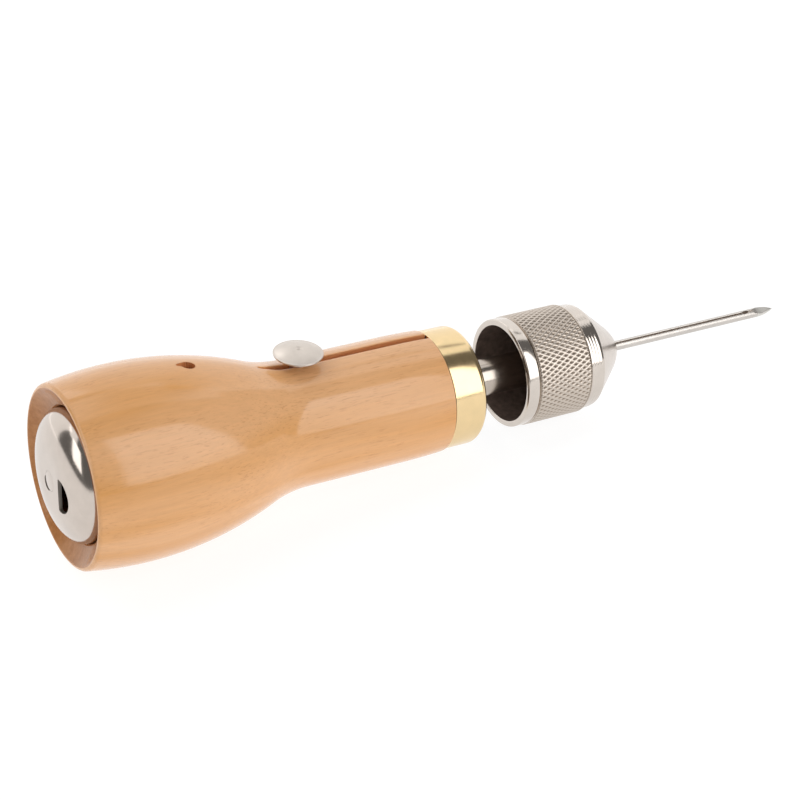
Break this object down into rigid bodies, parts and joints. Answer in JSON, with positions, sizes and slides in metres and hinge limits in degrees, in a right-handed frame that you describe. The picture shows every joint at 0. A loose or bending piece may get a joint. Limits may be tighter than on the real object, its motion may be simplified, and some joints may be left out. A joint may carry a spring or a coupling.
{
  "type": "sewing awl",
  "caption": "Lock-stitch sewing awl: turned beech handle with a bobbin in its end, tension stud, thread slot, brass ferrule, knurled screw chuck and grooved needle.",
  "frame": {"origin": "on the tool axis, in the middle of the ferrule's cylindrical band", "axes": "+X along the tool axis towards the needle point, +Z towards the thread slot and the tension stud"},
  "size_m": [0.1831, 0.0418, 0.0418],
  "materials": {
    "wood": "varnished beech",
    "brass": "satin",
    "steel": "turned",
    "nickel": "nickel plated",
    "needle_steel": "polished"
  },
  "bodies": {
    "handle": {"handle": "wood", "ferrule": "brass", "needle_post": "steel", "tension_stud": "nickel"},
    "bobbin_spindle": {"bobbin_spindle": "steel"},
    "bobbin": {"bobbin_outer_flange": "nickel", "bobbin_core": "nickel", "bobbin_inner_flange": "nickel"},
    "needle": {"needle": "needle_steel"},
    "chuck_cap": {"chuck_cap": "nickel"}
  },
  "joints": [
    {"name": "bobbin_pull", "type": "slide", "parent": "handle", "child": "bobbin_spindle", "axis": [-1, 0, 0], "range_m": [0, 0.045]},
    {"name": "bobbin_spin", "type": "hinge", "parent": "bobbin_spindle", "child": "bobbin", "pos_m": [-0.0885, 0, 0], "axis": [1, 0, 0], "continuous": true},
    {"name": "chuck_travel", "type": "slide", "parent": "handle", "child": "needle", "axis": [1, 0, 0], "range_m": [0, 0.01]},
    {"name": "chuck_turn", "type": "hinge", "parent": "needle", "child": "chuck_cap", "pos_m": [0.0285, 0, 0], "axis": [1, 0, 0], "range_deg": [0, 2880]}
  ],
  "couplings": [
    {"joint": "chuck_travel", "follows": "chuck_turn", "m_per_rad": 0.00019894}
  ]
}
